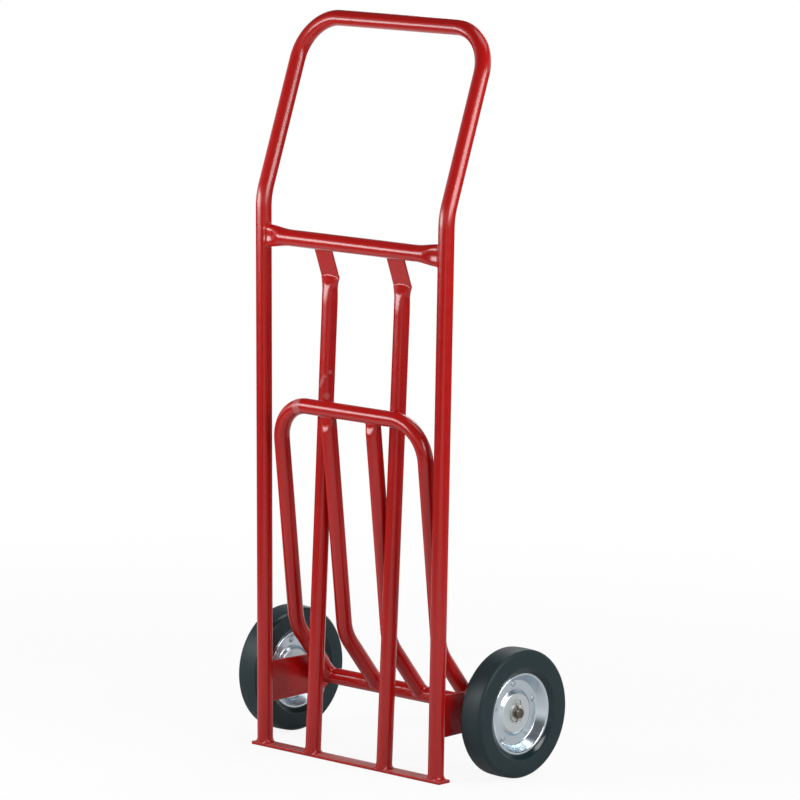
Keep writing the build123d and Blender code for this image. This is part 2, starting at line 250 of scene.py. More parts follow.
# From there to a prong's end is at least this far
PRONG_LAST_STEP = 0.3

X_AXIS = np.array([1.0, 0.0, 0.0])
Y_AXIS = np.array([0.0, 1.0, 0.0])
SIDES = (("left", -1.0), ("right", 1.0))


# Materials

def linear(hex_colour):
    """sRGB hex to linear RGBA: c / 12.92 below 0.04045, else ((c + 0.055) / 1.055) to the power 2.4."""
    srgb = [int(hex_colour[i:i + 2], 16) / 255 for i in (1, 3, 5)]
    return tuple(c / 12.92 if c <= 0.04045 else ((c + 0.055) / 1.055) ** 2.4 for c in srgb) + (1.0,)


def per_mm(size):
    """Texture scale, in cycles a metre, that gives features of the given size in millimetres."""
    return 1000.0 / size


def add(tree, kind, inputs=None, **settings):
    """Adds a node: settings are its properties, and inputs maps a socket to a value or an output to link."""
    node = tree.nodes.new(kind)
    for key, value in settings.items():
        setattr(node, key, value)
    for key, value in (inputs or {}).items():
        if isinstance(value, bpy.types.NodeSocket):
            tree.links.new(value, node.inputs[key])
        else:
            node.inputs[key].default_value = value
    return node


def new_material(name):
    """An empty node material, its tree, its Object coordinates and its output node."""
    material = bpy.data.materials.new(name)
    material.use_nodes = True
    tree = material.node_tree
    tree.nodes.clear()
    place = add(tree, "ShaderNodeTexCoord").outputs["Object"]
    return material, tree, place, add(tree, "ShaderNodeOutputMaterial")


def from_axle(tree, place):
    """Distance of each place from the axle's line, which runs along X: the place, with its X made zero, less
    the axle's Y and Z."""
    flat = add(tree, "ShaderNodeVectorMath", {0: place, 1: (0.0, 1.0, 1.0)}, operation="MULTIPLY")
    axle = (0.0, AXLE_Y * MM, AXLE_Z * MM)
    away = add(tree, "ShaderNodeVectorMath", {0: flat.outputs["Vector"], 1: axle}, operation="DISTANCE")
    return away.outputs["Value"]


# Rubbed spots on the paint: centre, and the distances at which the mark starts to fade and is gone
RUBBED = [((-109.0, -4.0, 563.0), 13.4, 15.6), ((-81.9, 11.1, 597.5), 0.5, 4.2),
          ((-79.0, 11.0, 602.3), 0.8, 4.6), ((-76.2, 11.3, 607.3), 1.0, 4.8),
          ((-73.2, 12.5, 613.0), 0.6, 4.4), ((-66.9, 19.5, 620.0), 0.0, 4.6),
          ((-69.6, 13.8, 582.0), 0.0, 7.0)]
# Distances over which one finish gives way to the next: at the plate's top, where its painted reflection
# begins, at the tyre's bevel and chamfer, and inside and outside the edge of a disc's hub
PAINTED_SHEEN_EASE = 0.4
BEVEL_EASE = 3.0
CHAMFER_EASE = 1.0
HUB_EASE_IN = 1.0
HUB_EASE_OUT = 1.5


def red_enamel(name, painted_sheen_above=None):
    """Stoved gloss enamel on steel tube: deep red, wet-looking, with a faint orange peel and a few scuffed
    spots. Above the height given, if any, the top face is painted a greyed pink, a painted reflection of the
    pale studio."""
    material, tree, place, output = new_material(name)
    # Batch and film thickness shift the colour a little over a hand's breadth
    drift = add(tree, "ShaderNodeTexNoise", {"Vector": place, "Scale": per_mm(90), "Detail": 2.0})
    paint = add(tree, "ShaderNodeMix", {"Factor": drift.outputs["Fac"], "A": linear("#AF110F"),
                                        "B": linear("#BB1512")}, data_type="RGBA")
    # Handling leaves fine marks that dull the gloss
    haze = add(tree, "ShaderNodeTexNoise", {"Vector": place, "Scale": per_mm(14), "Detail": 5.0,
                                            "Roughness": 0.7})
    gloss = add(tree, "ShaderNodeMapRange", {"Value": haze.outputs["Fac"], "From Min": 0.35, "From Max": 0.75,
                                             "To Min": 0.19, "To Max": 0.27})
    # Rubbed spots, broken up by fine scratches
    scratch = add(tree, "ShaderNodeTexNoise", {"Vector": place, "Scale": per_mm(4), "Detail": 4.0,
                                               "Distortion": 1.2})
    broken = add(tree, "ShaderNodeMapRange", {"Value": scratch.outputs["Fac"], "From Min": 0.36,
                                              "From Max": 0.6, "To Min": 0.3, "To Max": 0.75})
    marks = []
    for centre, fade, gone in RUBBED:
        spot = tuple(c * MM for c in centre)
        away = add(tree, "ShaderNodeVectorMath", {0: place, 1: spot}, operation="DISTANCE")
        marks.append(add(tree, "ShaderNodeMapRange", {"Value": away.outputs["Value"], "From Min": fade * MM,
                                                      "From Max": gone * MM, "To Min": 1.0, "To Max": 0.0}))
    # On a plate, the top face is painted a greyed pink: a painted reflection of the pale studio
    if painted_sheen_above is not None:
        height = add(tree, "ShaderNodeSeparateXYZ", {"Vector": place}).outputs["Z"]
        marks.append(add(tree, "ShaderNodeMapRange",
                         {"Value": height, "From Min": (painted_sheen_above - PAINTED_SHEEN_EASE) * MM,
                          "From Max": painted_sheen_above * MM, "To Min": 0.0, "To Max": 0.9}))
    # Rubbed spots and the painted reflection on a plate's top share this mask and the greyed pink below
    rubbed_and_sheen = marks[0].outputs["Result"]
    for mark in marks[1:]:
        both = add(tree, "ShaderNodeMath", {0: rubbed_and_sheen, 1: mark.outputs["Result"]}, operation="MAXIMUM")
        rubbed_and_sheen = both.outputs["Value"]
    wear_and_sheen = add(tree, "ShaderNodeMath", {0: rubbed_and_sheen, 1: broken.outputs["Result"]}, operation="MULTIPLY")
    colour = add(tree, "ShaderNodeMix", {"Factor": wear_and_sheen.outputs["Value"], "A": paint.outputs["Result"],
                                         "B": linear("#BE7C77")}, data_type="RGBA")
    dull = add(tree, "ShaderNodeMix", {"Factor": wear_and_sheen.outputs["Value"], "A": gloss.outputs["Result"],
                                       "B": 0.55})
    peel = add(tree, "ShaderNodeTexNoise", {"Vector": place, "Scale": per_mm(3.5), "Detail": 1.0})
    bump = add(tree, "ShaderNodeBump", {"Height": peel.outputs["Fac"], "Strength": 0.08,
                                        "Distance": 0.2 * MM})
    shader = add(tree, "ShaderNodeBsdfPrincipled",
                 {"Base Color": colour.outputs["Result"], "Roughness": dull.outputs["Result"],
                  "IOR": 1.5, "Normal": bump.outputs["Normal"]})
    tree.links.new(shader.outputs["BSDF"], output.inputs["Surface"])
    return material


def tyre_rubber():
    """Moulded solid rubber: dark slate, half matt, with a grain and faint dust; the bevelled edges have the
    polish of their mould rings and catch the lamps."""
    material, tree, place, output = new_material("moulded_tyre_rubber")
    radius = from_axle(tree, place)
    bevel = add(tree, "ShaderNodeMapRange", {"Value": radius, "From Min": TYRE_BEVEL_R * MM,
                                             "From Max": (TYRE_BEVEL_R + BEVEL_EASE) * MM,
                                             "To Min": 1.0, "To Max": 0.0})
    rim = add(tree, "ShaderNodeMapRange", {"Value": radius, "From Min": (CHAMFER_R - CHAMFER_EASE) * MM,
                                           "From Max": (CHAMFER_R + CHAMFER_EASE) * MM})
    sideways = add(tree, "ShaderNodeSeparateXYZ", {"Vector": place}).outputs["X"]
    apart = add(tree, "ShaderNodeMath", {0: sideways}, operation="ABSOLUTE")
    inner = add(tree, "ShaderNodeMapRange", {"Value": apart.outputs["Value"],
                                             "From Min": (WHEEL_X - CHAMFER_OFF - CHAMFER_EASE) * MM,
                                             "From Max": (WHEEL_X - CHAMFER_OFF + CHAMFER_EASE) * MM,
                                             "To Min": 1.0, "To Max": 0.0})
    chamfer = add(tree, "ShaderNodeMath", {0: rim.outputs["Result"], 1: inner.outputs["Result"]},
                  operation="MULTIPLY")
    polish = add(tree, "ShaderNodeMath", {0: bevel.outputs["Result"], 1: chamfer.outputs["Value"]},
                 operation="MAXIMUM")
    matt = add(tree, "ShaderNodeMapRange", {"Value": polish.outputs["Value"], "To Min": 0.5, "To Max": 0.15})
    dust = add(tree, "ShaderNodeTexNoise", {"Vector": place, "Scale": per_mm(35), "Detail": 6.0,
                                            "Roughness": 0.65})
    colour = add(tree, "ShaderNodeMix", {"Factor": dust.outputs["Fac"], "A": linear("#12272B"),
                                         "B": linear("#1C3135")}, data_type="RGBA")
    # The mould's grain is finer than this; it is drawn coarser, to break up the sheen
    grain = add(tree, "ShaderNodeTexNoise", {"Vector": place, "Scale": per_mm(1.2), "Detail": 3.0})
    bump = add(tree, "ShaderNodeBump", {"Height": grain.outputs["Fac"], "Strength": 0.15,
                                        "Distance": 0.2 * MM})
    shader = add(tree, "ShaderNodeBsdfPrincipled",
                 {"Base Color": colour.outputs["Result"], "Roughness": matt.outputs["Result"], "IOR": 1.5,
                  "Specular IOR Level": 0.34, "Normal": bump.outputs["Normal"]})
    tree.links.new(shader.outputs["BSDF"], output.inputs["Surface"])
    return material


def plated_steel():
    """Bright zinc plate on pressed sheet: mirror-like on the dish, satin on the flat middle where tools
    rubbed it."""
    material, tree, place, output = new_material("bright_zinc_plate")
    middle = add(tree, "ShaderNodeMapRange", {"Value": from_axle(tree, place),
                                              "From Min": (DISC_HUB_R - HUB_EASE_IN) * MM,
                                              "From Max": (DISC_HUB_R + HUB_EASE_OUT) * MM,
                                              "To Min": 1.0, "To Max": 0.0}).outputs["Result"]
    cloud = add(tree, "ShaderNodeTexNoise", {"Vector": place, "Scale": per_mm(12), "Detail": 4.0})
    bright = add(tree, "ShaderNodeMapRange", {"Value": cloud.outputs["Fac"], "To Min": 0.17, "To Max": 0.3})
    rough = add(tree, "ShaderNodeMix", {"Factor": middle, "A": bright.outputs["Result"], "B": 0.5})
    colour = add(tree, "ShaderNodeMix", {"Factor": middle, "A": linear("#C8D3DB"), "B": linear("#D3D9DC")},
                 data_type="RGBA")
    shader = add(tree, "ShaderNodeBsdfPrincipled",
                 {"Base Color": colour.outputs["Result"], "Metallic": 1.0,
                  "Roughness": rough.outputs["Result"]})
    tree.links.new(shader.outputs["BSDF"], output.inputs["Surface"])
    return material


def turned_steel(name, dark, light, roughness):
    """Plain turned steel: grey-brown from oil, with lathe lines round the axle."""
    material, tree, place, output = new_material(name)
    # Real lathe lines are too fine to show, so these are drawn about 3 mm apart
    lines = add(tree, "ShaderNodeTexWave", {"Vector": place, "Scale": per_mm(9), "Distortion": 1.5,
                                            "Detail": 2.0}, wave_type="BANDS", bands_direction="X")
    stain = add(tree, "ShaderNodeTexNoise", {"Vector": place, "Scale": per_mm(8), "Detail": 4.0})
    colour = add(tree, "ShaderNodeMix", {"Factor": stain.outputs["Fac"], "A": linear(dark),
                                         "B": linear(light)}, data_type="RGBA")
    bump = add(tree, "ShaderNodeBump", {"Height": lines.outputs["Fac"], "Strength": 0.1,
                                        "Distance": 0.1 * MM})
    shader = add(tree, "ShaderNodeBsdfPrincipled",
                 {"Base Color": colour.outputs["Result"], "Metallic": 1.0, "Roughness": roughness,
                  "Normal": bump.outputs["Normal"]})
    tree.links.new(shader.outputs["BSDF"], output.inputs["Surface"])
    return material


def black_nylon():
    """Moulded nylon: near black and matt, with a faint grain from the mould."""
    material, tree, place, output = new_material("moulded_black_nylon")
    # As on the tyres, the grain is drawn coarser than it is
    grain = add(tree, "ShaderNodeTexNoise", {"Vector": place, "Scale": per_mm(0.8), "Detail": 2.0})
    bump = add(tree, "ShaderNodeBump", {"Height": grain.outputs["Fac"], "Strength": 0.2,
                                        "Distance": 0.1 * MM})
    shader = add(tree, "ShaderNodeBsdfPrincipled", {"Base Color": linear("#17181A"), "Roughness": 0.5,
                                                    "IOR": 1.53, "Normal": bump.outputs["Normal"]})
    tree.links.new(shader.outputs["BSDF"], output.inputs["Surface"])
    return material


ENAMEL = red_enamel("red_stoved_enamel")
# The toe plate's enamel: its top face carries a painted reflection in greyed pink
TOE_ENAMEL_PAINTED_SHEEN = red_enamel("red_enamel_painted_sheen_on_top", TOE_TOP)
RUBBER = tyre_rubber()
PLATE = plated_steel()
AXLE_STEEL = turned_steel("oiled_axle_steel", "#514A42", "#79726A", 0.4)
RIVET_STEEL = turned_steel("satin_rivet_steel", "#A4ABB0", "#BCC4C9", 0.55)
WASHER_STEEL = turned_steel("zinc_washer_steel", "#B9B9B5", "#D2D2CE", 0.36)
NYLON = black_nylon()


# Surfaces

def unit(vectors):
    """Vectors scaled to length one."""
    vectors = np.asarray(vectors, float)
    return vectors / np.linalg.norm(vectors, axis=-1, keepdims=True)


def smooth_step(value):
    """Eases from 0 to 1 as value goes from 0 to 1: 3 v squared less 2 v cubed."""
    value = np.clip(value, 0.0, 1.0)
    return value * value * (3 - 2 * value)


def smooth_lesser(one, other, reach):
    """The lesser of two heights, rounded where they are within reach: a mix by h less reach h (1 - h)."""
    h = np.clip(0.5 + 0.5 * (other - one) / reach, 0, 1)
    return other + (one - other) * h - reach * h * (1 - h)


class BentLine:
    """Straight runs joined by tangent arcs. A piece read d along an arc of radius r, with t = d / r, is at
    start + r (sin t ahead + (1 - cos t) inward); on a straight run it is at start + d ahead."""

    def __init__(self, corners, radii):
        corners = np.array(corners, float)
        self.pieces = []
        self.length = 0.0
        start = corners[0]
        for corner, after, radius in zip(corners[1:-1], corners[2:], radii):
            ahead = unit(corner - start)
            then = unit(after - corner)
            turn = np.arccos(np.clip(ahead @ then, -1, 1))
            reach = radius * tan(turn / 2)
            inward = unit(then - (then @ ahead) * ahead)
            run = np.linalg.norm(corner - start) - reach
            self._add(start, ahead, inward, 0.0, run)
            self._add(start + ahead * run, ahead, inward, radius, radius * turn)
            start = corner + then * reach
        ahead = unit(corners[-1] - start)
        self._add(start, ahead, ahead, 0.0, np.linalg.norm(corners[-1] - start))

    def _add(self, start, ahead, inward, radius, length):
        """Adds a straight run, whose radius is 0, or an arc to the end of the line."""
        self.pieces.append((self.length, length, start, ahead, inward, radius))
        self.length += length

    def stations(self, run_step, arc_step):
        """Distances along the line at which to set a ring: both ends of each piece, and evenly between."""
        marks = []
        for begin, length, _, _, _, radius in self.pieces:
            count = max(1, int(np.ceil(length / (arc_step if radius else run_step))))
            marks.append(begin + length * np.arange(count) / count)
        marks.append([self.length])
        return np.concatenate(marks)

    def at(self, distance):
        """Points and directions at an array of distances from the start."""
        points = np.zeros((len(distance), 3))
        ahead_there = np.zeros((len(distance), 3))
        for number, (begin, length, start, ahead, inward, radius) in enumerate(self.pieces):
            last = number == len(self.pieces) - 1
            here = (distance >= begin) & ((distance < begin + length) | last)
            d = (distance[here] - begin)[:, None]
            if radius:
                t = d / radius
                points[here] = start + radius * (np.sin(t) * ahead + (1 - np.cos(t)) * inward)
                ahead_there[here] = np.cos(t) * ahead + np.sin(t) * inward
            else:
                points[here] = start + d * ahead
                ahead_there[here] = ahead
        return points, ahead_there


def angles(count):
    """Evenly spaced angles round a full turn."""
    return np.arange(count) * 2 * pi / count


def turns(rows, columns):
    """Evenly spaced angles round a full turn, the same on every row."""
    return np.broadcast_to(angles(columns), (rows, columns))


def square_to(ahead, reference):
    """Two directions square to each other and to the line; the first is square to the reference too."""
    across = unit(np.cross(ahead, reference))
    return across, np.cross(ahead, across)


def carried(points, across, beside, wide, deep):
    """A section carried along a line: point + wide across + deep beside, for every row and column."""
    return points[:, None, :] + wide[..., None] * across[:, None, :] + deep[..., None] * beside[:, None, :]


def tube(points, ahead, reference, columns):
    """A circle carried along a line of points: point + radius (cos a across + sin a beside)."""
    across, beside = square_to(ahead, reference)
    turn = turns(len(points), columns)
    return carried(points, across, beside, TUBE_R * np.cos(turn), TUBE_R * np.sin(turn))


def cope(start, ahead, bar_point, bar_ahead, bar_radius, far):
    """Distance from each start point along one direction to a round bar's skin, near or far side: with w the
    start and d the direction, both square to the bar, it is a root of (w + s d) squared = radius squared."""
    w = start - bar_point
    w = w - (w @ bar_ahead)[..., None] * bar_ahead
    d = ahead - (ahead @ bar_ahead) * bar_ahead
    a = d @ d
    b = w @ d
    c = (w * w).sum(-1) - bar_radius ** 2
    root = np.sqrt(np.maximum(b * b - a * c, 0.0))
    return (-b + root) / a if far else (-b - root) / a


def turned(profile, centre_x, columns):
    """A profile of (radius, offset along X) turned round the axle's line."""
    profile = np.asarray(profile, float)
    angle = angles(columns)
    grid = np.empty((len(profile), columns, 3))
    grid[..., 0] = centre_x + profile[:, 1:2]
    grid[..., 1] = AXLE_Y + profile[:, :1] * np.cos(angle)
    grid[..., 2] = AXLE_Z + profile[:, :1] * np.sin(angle)
    return grid


def mirrored(points, side):
    """Points of the right side (1) or their mirror image on the left (-1)."""
    return points * np.array([side, 1.0, 1.0])


def rounded_edges(edge, thick):
    """Rings round a plate whose two edges are rounded: each is drawn in by edge (1 - cos a), at a height of
    edge (1 + sin a) from the nearer face."""
    turn = np.linspace(-pi / 2, 0, 5)
    inset = edge * (1 - np.cos(turn))
    lift = edge * (1 + np.sin(turn))
    return np.concatenate([inset, inset[::-1]]), np.concatenate([lift, thick - lift[::-1]])


def skin(grid, loop_rows=False):
    """Points and faces of a closed skin. Columns always meet round the back; rows meet too where they loop,
    and otherwise each end is closed by a fan about its middle. Faces are turned outwards by the volume's
    sign."""
    rows, columns = grid.shape[:2]
    index = np.arange(rows * columns).reshape(rows, columns)
    here = index if loop_rows else index[:-1]
    there = np.roll(index, -1, 0) if loop_rows else index[1:]
    quads = np.stack([here, np.roll(here, -1, 1), np.roll(there, -1, 1), there], -1).reshape(-1, 4)
    points = grid.reshape(-1, 3)
    triangles = np.zeros((0, 3), int)
    if not loop_rows:
        middles = grid[[0, -1]].mean(axis=1)
        first, last = len(points), len(points) + 1
        points = np.concatenate([points, middles])
        near = np.stack([np.roll(index[0], -1), index[0], np.full(columns, first)], -1)
        far = np.stack([index[-1], np.roll(index[-1], -1), np.full(columns, last)], -1)
        triangles = np.concatenate([near, far])
    halves = np.concatenate([quads[:, [0, 1, 2]], quads[:, [0, 2, 3]], triangles])
    a, b, c = (points[halves[:, i]] - points.mean(0) for i in range(3))
    if (a * np.cross(b, c)).sum() < 0:
        quads, triangles = quads[:, ::-1], triangles[:, ::-1]
    return points, quads.tolist() + triangles.tolist()


def settled(points, bar_point, bar_ahead, bar_radius):
    """Points moved square to a round bar's line onto its skin, and the skin's outward directions there."""
    w = points - bar_point
    along = (w @ bar_ahead)[:, None] * bar_ahead
    outward = unit(w - along)
    return bar_point + along + bar_radius * outward, outward


def weld_fillet(seam, up_wall, bar_point, bar_ahead, bar_radius, width, rise, fill=WELD_FILL):
    """A fillet round the closed seam of a tube on a round bar: from a point up the tube's wall to a point out
    on the bar, along (1-t)^2 high + 2t(1-t) elbow + t^2 low, a little wider and higher in each weld pool. The
    elbow lies off the seam by the fill's share of the way to both."""
    ahead = unit(np.roll(seam, -1, 0) - np.roll(seam, 1, 0))
    _, outward = settled(seam, bar_point, bar_ahead, bar_radius)
    away = unit(np.cross(ahead, outward))
    away *= np.sign((away * (seam - seam.mean(0))).sum())
    step = np.linalg.norm(np.roll(seam, -1, 0) - seam, axis=1)
    share = (np.cumsum(step) - step) / step.sum()
    pools = max(3, round(step.sum() / FILLET_POOL))
    swell = FILLET_LEAST + POOL_SWELL * np.abs(np.sin(pi * pools * share))[:, None]
    high = seam + rise * swell * up_wall - WELD_SUNK * unit(seam - seam.mean(0))
    low, _ = settled(seam + width * swell * away, bar_point, bar_ahead, bar_radius - WELD_SUNK)
    elbow = seam + fill * (high + low - 2 * seam)
    t = np.linspace(0, 1, 8)[None, :, None]
    curve = (1 - t) ** 2 * high[:, None] + 2 * t * (1 - t) * elbow[:, None] + t ** 2 * low[:, None]
    buried = seam - WELD_BURIED * unit(high + low - 2 * seam)
    return skin(np.concatenate([curve, buried[:, None]], axis=1), loop_rows=True)


def weld_run(start, end, radius):
    """A straight bead with tapered ends: a circle whose radius is scaled by the root of sin(pi share) times
    the taper, up to one, and rippled by weld pools."""
    # The rings stop just short of the ends, where their radius would be nothing
    share = np.linspace(0.004, 0.996, 90)
    points = start + share[:, None] * (end - start)
    ahead = np.broadcast_to(unit(end - start), points.shape)
    across, beside = square_to(ahead, ASKEW)
    pools = max(3, round(np.linalg.norm(end - start) / BEAD_POOL))
    taper = np.minimum(1.0, BEAD_TAPER * np.sqrt(np.sin(pi * share)))
    swell = radius * taper * (BEAD_LEAST + POOL_SWELL * np.abs(np.sin(pi * pools * share)))
    turn = angles(14)
    return skin(carried(points, across, beside, swell[:, None] * np.cos(turn), swell[:, None] * np.sin(turn)))


def add_piece(name, body, material, skins, replaces=()):
    """One object made of closed skins, shaded smooth up to a crease of 35 degrees, riding on a body."""
    points, faces, base = [], [], 0
    for skin_points, skin_faces in skins:
        points.append(skin_points)
        faces += [[base + i for i in face] for face in skin_faces]
        base += len(skin_points)
    mesh = bpy.data.meshes.new(name)
    mesh.from_pydata((np.concatenate(points) * MM).tolist(), [], faces)
    mesh.shade_smooth()
    mesh.set_sharp_from_angle(angle=radians(35))
    mesh.materials.append(material)
    piece = bpy.data.objects.new(name, mesh)
    bpy.context.scene.collection.objects.link(piece)
    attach(piece, body)
    if replaces:
        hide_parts(*replaces)


def upright_x(z):
    """The right upright's centre at a height below the knee."""
    return UPRIGHT_FOOT_X + (UPRIGHT_KNEE_X - UPRIGHT_FOOT_X) * z / KNEE_Z


UPRIGHT_AHEAD = unit([UPRIGHT_KNEE_X - UPRIGHT_FOOT_X, 0.0, KNEE_Z])
UPRIGHT_POINT = np.array([UPRIGHT_FOOT_X, 0.0, 0.0])
AXLE_POINT = np.array([0.0, AXLE_Y, AXLE_Z])
NOSE_TOP_POINT = np.array([0.0, NOSE_TOP_Y, NOSE_TOP_Z])
frame_welds = []
nose_welds = []


# Frame

def frame_tube_skin():
    """The uprights and handle: a circle along one bent line from foot to foot."""
    right = [(UPRIGHT_KNEE_X, HANDLE_Y, HANDLE_Z), (UPRIGHT_KNEE_X, 0, KNEE_Z),
             (upright_x(TOE_TOP), 0, TOE_TOP)]
    left = [(-x, y, z) for x, y, z in reversed(right)]
    line = BentLine(left + right, [KNEE_BEND, HANDLE_BEND, HANDLE_BEND, KNEE_BEND])
    points, ahead = line.at(line.stations(RUN_STEP, arc_step=3.0))
    return skin(tube(points, ahead, Y_AXIS, 72))


def crossbar_section(x, turn):
    """Half height cos a and half depth sin a (1 - k sin to the sixth a). Towards the end the height eases up,
    the depth eases in from round to a pinched tab, and k, which hollows its front and back, from 0 to the
    dimple's."""
    past = np.abs(x) - upright_x(CROSSBAR_Z)
    flare = smooth_step((past + CROSSBAR_FLARE) / (CROSSBAR_FLARE - TUBE_R))
    pinch = smooth_step((past + CROSSBAR_PINCH) / (CROSSBAR_PINCH - CROSSBAR_TAB))
    tall = CROSSBAR_R + (CROSSBAR_END_TALL - CROSSBAR_R) * flare
    deep = CROSSBAR_R + (CROSSBAR_END_DEEP - CROSSBAR_R) * pinch
    return tall * np.cos(turn), deep * np.sin(turn) * (1 - CROSSBAR_DIMPLE * pinch * np.sin(turn) ** 6)


def crossbar_skin():
    """The section along X, each of its lines running from upright to upright, cut to their skins."""
    turn = angles(96)
    # Rings, as shares of the half length: close together over the shaped ends
    fine = np.linspace(0.68, 1, 60)
    shares = np.concatenate([-fine[::-1], np.linspace(-0.66, 0.66, 24), fine])
    rise, depth = crossbar_section(np.full_like(turn, upright_x(CROSSBAR_Z) - TUBE_R), turn)
    starts = np.stack([np.zeros_like(turn), depth, CROSSBAR_Z + rise], -1)
    reach = cope(starts, X_AXIS, UPRIGHT_POINT, UPRIGHT_AHEAD, TUBE_R, False)
    x = shares[:, None] * reach
    rise, depth = crossbar_section(x, turn)
    grid = np.stack([x, depth, CROSSBAR_Z + rise], -1)
    for _, side in SIDES:
        frame_welds.append(weld_fillet(mirrored(grid[-1], side), -side * X_AXIS,
                                       mirrored(UPRIGHT_POINT, side), mirrored(UPRIGHT_AHEAD, side), TUBE_R,
                                       *CROSSBAR_WELD, fill=CROSSBAR_WELD_FILL))
    return skin(grid)


def centre_tube_grid():
    """A round tube pressed to a flat strip. Half depth at x is the smooth greater of the strip's, half thick
    with round edges, and the tube's, d times 1 - (x / half width) squared to the power of a half. Up the
    press d falls in a slow ramp, the half width spreads and the front's power falls. A crowned plane straight
    through the fold cuts the front off: with up and out taken along and square to the lower tube, it is where
    slope times up plus out is edge plus crown. The back closes by the root of 1 - v squared."""
    strip_ahead = np.array([0.0, -sin(STRIP_LEAN), cos(STRIP_LEAN)])
    strip_foot = np.array([CENTRE_X, STRIP_FOOT_Y, STRIP_FOOT_Z])
    foot_y = CENTRE_FOOT_Y + (STRIP_FOOT_Y - CENTRE_FOOT_Y) * TOE_TOP / STRIP_FOOT_Z
    foot = np.array([CENTRE_X, foot_y, TOE_TOP])
    line = BentLine([foot, strip_foot, strip_foot + strip_ahead * STRIP_LENGTH], [STRIP_BEND])
    fold = line.pieces[1][0] + line.pieces[1][1] / 2
    # Rings: far apart on the plain tube, closer up the press and closest about the fold
    stations = np.concatenate([np.arange(0.0, fold - PRESS_START - 5, RUN_STEP),
                               np.linspace(fold - PRESS_START, fold - BACK_DOME, 30),
                               np.linspace(fold - BACK_DOME + 0.3, fold + FOLD_HEAD + 2.0, 90),
                               np.linspace(fold + FOLD_HEAD + 4.0, line.length, 8)])
    points, ahead = line.at(stations)
    across = np.broadcast_to(X_AXIS, points.shape)
    beside = np.cross(ahead, across)
    turn = angles(160)
    front = np.sin(turn) < 0
    s = (stations - fold)[:, None]
    # The tube, thinned, spread and flattened up the press
    along = np.clip(s + PRESS_START, 0, None)
    ramp = PRESS_SLOPE * np.where(along < PRESS_EASE, along ** 2 / (2 * PRESS_EASE), along - PRESS_EASE / 2)
    spread = TUBE_R + (STRIP_HALF_WIDE - TUBE_R) * np.clip(1 + s / SPREAD_LENGTH, 0, 1) ** SPREAD_POWER
    wide = spread * np.cos(turn)
    bow = np.sin(turn) ** 2
    fullness = 0.5 - np.where(front, PRESS_FLATTEN, 0.0) * np.clip(along / PRESS_EASE, 0, 1)
    round_part = (TUBE_R - ramp) * bow ** fullness
    # The plane through the fold, as a depth at each ring
    up = (points - strip_foot) @ ahead[0]
    out = (strip_foot - points) @ beside[0]
    lean = (ahead @ ahead[0] + FACET_SLOPE * (ahead @ beside[0]))[:, None]
    facet = (FACET_EDGE + FACET_CROWN * bow - (FACET_SLOPE * up + out)[:, None]) / lean
    v = np.clip((s + BACK_DOME) / (BACK_DOME + FOLD_HEAD), 0, 1)
    pressed = smooth_lesser(round_part, facet, FACET_ROUND)
    round_part = np.where(front, pressed, round_part * np.sqrt(1 - v ** 2))
    # The strip
    past = np.clip((np.abs(wide) - spread + STRIP_HALF_THICK) / STRIP_HALF_THICK, 0, 1)
    flat = np.where(v > 0, STRIP_HALF_THICK, 0.0) * np.sqrt(1 - past ** 2)
    depth = -smooth_lesser(-round_part, -flat, np.maximum(CREASE_ROUND * flat, 1e-6))
    return carried(points, across, beside, wide, depth * np.sign(np.sin(turn)))


def foot_fillet(foot_x, foot_y):
    """Weld fillet round a tube's foot: a concave quarter arc from the wall down to the plate, as wide as the
    plate leaves room for, which is its half depth over |sin a| less the tube's radius."""
    turn = angles(72)
    edge = TOE_DEPTH / 2 - TOE_EDGE - np.sign(np.sin(turn)) * foot_y
    # Along the plate, where the sine nears nothing, there is room enough
    room = edge / np.maximum(np.abs(np.sin(turn)), 0.05) - TUBE_R
    width = np.clip(room, FOOT_WELD_THIN, FOOT_WELD_WIDE)
    rise = FOOT_WELD_RISE * width
    arc = np.linspace(0, pi / 2, 9)[:, None]
    buried = np.full_like(turn, -FOOT_WELD_BURIED)
    out = np.concatenate([width * (1 - np.cos(arc)), [width, buried, buried]])
    up = np.concatenate([rise * (1 - np.sin(arc)), [buried / 4, buried / 4, rise]])
    radius = TUBE_R + out
    grid = np.stack([foot_x + radius * np.cos(turn), foot_y + radius * np.sin(turn), TOE_TOP + up], -1)
    return skin(grid, loop_rows=True)


def toe_plate_skin():
    """Flat bar: a rounded rectangle drawn in by the edge's rounding at the bottom and top."""
    quarter = np.linspace(0, pi / 2, 8)
    corner_turn = np.concatenate([quarter + i * pi / 2 for i in range(4)])
    corner_x = np.repeat([1, -1, -1, 1], len(quarter)) * (TOE_LENGTH / 2 - TOE_CORNER)
    corner_y = np.repeat([1, 1, -1, -1], len(quarter)) * (TOE_DEPTH / 2 - TOE_CORNER)
    middle = np.stack([corner_x, corner_y], -1)
    outward = np.stack([np.cos(corner_turn), np.sin(corner_turn)], -1)
    inset, lift = rounded_edges(TOE_EDGE, TOE_TOP)
    grid = np.empty((len(inset), len(outward), 3))
    grid[..., :2] = middle + (TOE_CORNER - inset)[:, None, None] * outward
    grid[..., 2] = lift[:, None]
    return skin(grid)


